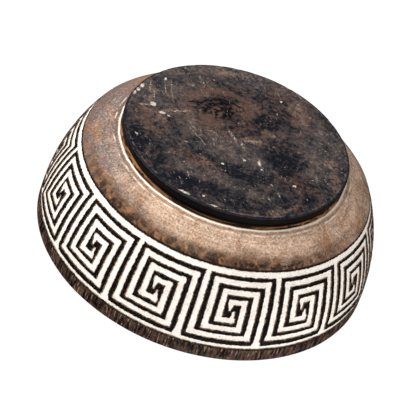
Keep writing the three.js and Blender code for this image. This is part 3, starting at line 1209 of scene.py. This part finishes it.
def build_ring_fill(name, low, high):
    """The lime of one of the two rings."""
    bowl, key, colours, side = settings()
    middle = (low + high) / 2
    half = (high - low) / 2 + RING_TUCK
    across = [-1, -0.8, -0.5, -0.2, 0.2, 0.5, 0.8, 1]
    base = -key.depth - BASE_TUCK
    outline = [side.at(middle + s * half, -key.fill_drop) for s in across]
    outline += [side.at(middle + s * half, base) for s in (1, 0, -1)]
    bm = turned(outline + outline[:1], bowl.turns)
    for vert in bm.verts:
        outward = Vector((vert.co.x, vert.co.y, 0)).normalized()
        vert.co += outward * (lime_rough(vert.co) - LIME_ROUGH / 2)
    lime = material("chalky_lime", chalky_lime, colours)
    piece = finished(bm, f"{name}_limed", [lime])
    placed(piece, "lime_fill", name)


def foot_profile(bowl):
    """Outline of the foot disc from its centre below to its centre above."""
    radius = bowl.foot_radius
    bevel = bowl.foot_bevel
    top = bowl.foot_depth + bowl.spigot_depth
    points = evenly(Vector((0, 0)), Vector((radius - bevel, 0)), 110)
    corner = Arc(Vector((radius - bevel, 0)), Vector((radius, bevel)), bevel * 0.25)
    points += [corner.at(i / 5) for i in range(6)]
    points += evenly(Vector((radius, bevel)), Vector((radius, bowl.foot_depth)), 6)[1:]
    points += [Vector((radius, bowl.foot_depth)), Vector((bowl.spigot_radius, bowl.foot_depth))]
    points += [Vector((bowl.spigot_radius, top)), Vector((0, top))]
    return points


def build_foot():
    """The foot disc, with its dents and its knocked edge."""
    bowl, _, colours, _ = settings()
    bm = turned(foot_profile(bowl), FOOT_TURNS)
    for vert in bm.verts:
        radius = math.hypot(vert.co.x, vert.co.y)
        if vert.co.z > bowl.foot_depth - 0.2 * MM:
            continue
        if vert.co.z < 0.05 * MM:
            dent = max(0.0, rough(vert.co, 9 * MM, 2.2) - 0.1) * 0.25 * MM
            pit = max(0.0, rough(vert.co, 2.2 * MM, 4.4) - 0.45) * 0.5 * MM
            vert.co.z += dent + pit
        if radius > bowl.foot_radius - 2 * MM:
            knock = max(0.0, rough(vert.co, 5 * MM, 6.6) - 0.15) * 0.9 * MM
            wobble = 0.10 * MM * rough(vert.co, 14 * MM, 8.8)
            inwards = Vector((vert.co.x, vert.co.y, 0)).normalized()
            corner = 1 - eased(vert.co.z, 0.0, 2.2 * MM)
            vert.co -= inwards * (knock * corner + wobble)
    wood = material("charred_foot", charred_foot, bowl, colours)
    piece = finished(bm, "foot_disc_turned", [wood])
    placed(piece, "blackened_wood", "foot_disc")


# ---- Stage ---------------------------------------------------------------------------------


def build_camera(stage):
    """The camera, low in front of the bowl and rolled over, so that it sees the foot."""
    elevation = stage.camera_elevation
    back = Vector((0, -math.cos(elevation), math.sin(elevation)))
    data = bpy.data.cameras.new("camera")
    data.lens = stage.camera_lens
    data.sensor_width = 36
    data.clip_start = 0.05
    data.clip_end = 50
    camera = bpy.data.objects.new("camera", data)
    camera.location = Vector(stage.camera_aim) + back * stage.camera_distance
    camera.rotation_mode = "QUATERNION"
    level = (-back).to_track_quat("-Z", "Y")
    camera.rotation_quaternion = level @ Quaternion((0, 0, 1), -stage.camera_roll)
    bpy.context.scene.collection.objects.link(camera)
    bpy.context.scene.camera = camera
    return camera


def build_light(name, camera, direction, distance, size, power, tint):
    """A square softbox; its direction is in the camera's right, up and back axes."""
    data = bpy.data.lights.new(name, "AREA")
    data.shape = "SQUARE"
    data.size = size
    data.energy = power
    data.color = tint
    light = bpy.data.objects.new(name, data)
    target = Vector((0, 0, 45 * MM))
    towards = direction.normalized()
    if camera is not None:
        towards = camera.rotation_quaternion @ towards
    light.location = target + towards * distance
    light.rotation_mode = "QUATERNION"
    light.rotation_quaternion = (-towards).to_track_quat("-Z", "Y")
    bpy.context.scene.collection.objects.link(light)


def pale_floor():
    """A matt pale floor, seen from above only."""
    floor = bpy.data.materials.new("pale_floor")
    floor.use_nodes = True
    tree = floor.node_tree
    matt = tree.nodes["Principled BSDF"]
    feed(tree, matt.inputs["Base Color"], (0.86, 0.86, 0.86))
    feed(tree, matt.inputs["Roughness"], 0.9)
    to_camera = new_node(tree, "LightPath", "Is Camera Ray", {})
    below = new_node(tree, "NewGeometry", "Backfacing", {})
    sides = {0: to_camera, 1: below}
    above = new_node(tree, "Math", 0, sides, operation="SUBTRACT", use_clamp=True)
    clear = new_node(tree, "BsdfTransparent", 0, {})
    mixed = new_node(tree, "MixShader", 0, {0: above, 1: clear, 2: matt.outputs[0]})
    feed(tree, tree.nodes["Material Output"].inputs["Surface"], mixed)
    return floor


def build_floor(stage):
    """The floor under the foot."""
    bm = bmesh.new()
    bmesh.ops.create_grid(bm, x_segments=4, y_segments=4, size=stage.floor_size / 2)
    bmesh.ops.translate(bm, verts=bm.verts, vec=(0, 0, -0.2 * MM))
    floor = finished(bm, "floor", [pale_floor()])


def build_world():
    """A white surround: bright behind the bowl, even as a light, and dim in reflections."""
    world = bpy.data.worlds.new("studio")
    world.use_nodes = True
    tree = world.node_tree
    shown = tree.nodes["Background"]
    feed(tree, shown.inputs["Color"], (0.95, 0.97, 1.0))
    feed(tree, shown.inputs["Strength"], 0.45)
    result = shown.outputs[0]
    for ray, strength in (("Is Glossy Ray", 0.15), ("Is Camera Ray", 1.05)):
        is_ray = new_node(tree, "LightPath", ray, {})
        seen = new_node(tree, "Background", 0, {"Color": (1, 1, 1), "Strength": strength})
        result = new_node(tree, "MixShader", 0, {0: is_ray, 1: result, 2: seen})
    feed(tree, tree.nodes["World Output"].inputs["Surface"], result)
    bpy.context.scene.world = world


# ---- Operators -----------------------------------------------------------------------------


class BOWL_OT_stage(bpy.types.Operator):
    """Makes the camera, the floor and the lights"""

    bl_idname = "bowl.stage"
    bl_label = "Stage"

    def execute(self, context):
        stage = context.scene.stage_sizes
        context.scene.view_settings.view_transform = "Standard"
        camera = build_camera(stage)
        build_floor(stage)
        build_world()
        white = (1, 1, 1)
        build_light("window_light", camera, Vector((-0.8, 0.9, 0.7)), 1.6, 1.0, 31, white)
        build_light("front_light", camera, Vector((0.5, -0.5, 1.0)), 1.8, 1.4, 21, white)
        build_light("top_light", None, Vector((-0.4, -0.5, 1.0)), 1.7, 1.4, 24, white)
        return {"FINISHED"}


class BOWL_OT_body(bpy.types.Operator):
    """Turns the bowl body: socket, cove, shoulder, lip and hollow"""

    bl_idname = "bowl.body"
    bl_label = "Bowl Body"

    def execute(self, context):
        build_body()
        return {"FINISHED"}


class BOWL_OT_panels(bpy.types.Operator):
    """Carves the panels of the key band"""

    bl_idname = "bowl.panels"
    bl_label = "Carved Panels"

    def execute(self, context):
        for panel in range(context.scene.key_sizes.panels):
            build_panel(panel)
        return {"FINISHED"}


class BOWL_OT_rings(bpy.types.Operator):
    """Limes the rings along the two edges of the band"""

    bl_idname = "bowl.rings"
    bl_label = "Lime Rings"

    def execute(self, context):
        *_, side = settings()
        (foot_low, foot_high), (lip_low, lip_high) = ring_edges(side)
        build_ring_fill("foot_ring_fill", foot_low, foot_high)
        build_ring_fill("lip_ring_fill", lip_low, lip_high)
        return {"FINISHED"}


class BOWL_OT_keys(bpy.types.Operator):
    """Limes the two interlocking key lines of every panel"""

    bl_idname = "bowl.keys"
    bl_label = "Lime Key Lines"

    def execute(self, context):
        _, key, _, side = settings()
        for panel in range(key.panels):
            number = f"{panel + 1:02d}"
            build_key_fill(f"lip_key_fill_{number}", lip_line(key, side), panel)
            build_key_fill(f"foot_key_fill_{number}", foot_line(key, side), panel)
        return {"FINISHED"}


class BOWL_OT_foot(bpy.types.Operator):
    """Turns the foot disc"""

    bl_idname = "bowl.foot"
    bl_label = "Foot Disc"

    def execute(self, context):
        build_foot()
        return {"FINISHED"}


OPERATORS = (
    BOWL_OT_stage,
    BOWL_OT_foot,
    BOWL_OT_body,
    BOWL_OT_panels,
    BOWL_OT_rings,
    BOWL_OT_keys,
)


class BOWL_PT_panel(bpy.types.Panel):
    """Lists the bowl's pieces in the sidebar"""

    bl_label = "Carved Key Bowl"
    bl_space_type = "VIEW_3D"
    bl_region_type = "UI"
    bl_category = "Bowl"

    def draw(self, context):
        for operator in OPERATORS:
            self.layout.operator(operator.bl_idname)
        for group in GROUPS:
            box = self.layout.box()
            values = getattr(context.scene, group)
            for name in values.__annotations__:
                box.prop(values, name)


GROUPS = {
    "bowl_sizes": BowlSizes,
    "key_sizes": KeySizes,
    "bowl_colours": BowlColours,
    "stage_sizes": StageSizes,
}


def register():
    """Registers the groups, the operators and the panel."""
    for name, group in GROUPS.items():
        bpy.utils.register_class(group)
        setattr(bpy.types.Scene, name, PointerProperty(type=group))
    for operator in OPERATORS:
        bpy.utils.register_class(operator)
    bpy.utils.register_class(BOWL_PT_panel)


def unregister():
    """Takes everything off again."""
    bpy.utils.unregister_class(BOWL_PT_panel)
    for operator in reversed(OPERATORS):
        bpy.utils.unregister_class(operator)
    for name, group in GROUPS.items():
        delattr(bpy.types.Scene, name)
        bpy.utils.unregister_class(group)


def main():
    """Builds the bowl."""
    register()
    bpy.ops.bowl.stage()
    bpy.ops.bowl.foot()
    bpy.ops.bowl.body()
    bpy.ops.bowl.panels()
    bpy.ops.bowl.rings()
    bpy.ops.bowl.keys()


if __name__ == "__main__":
    main()
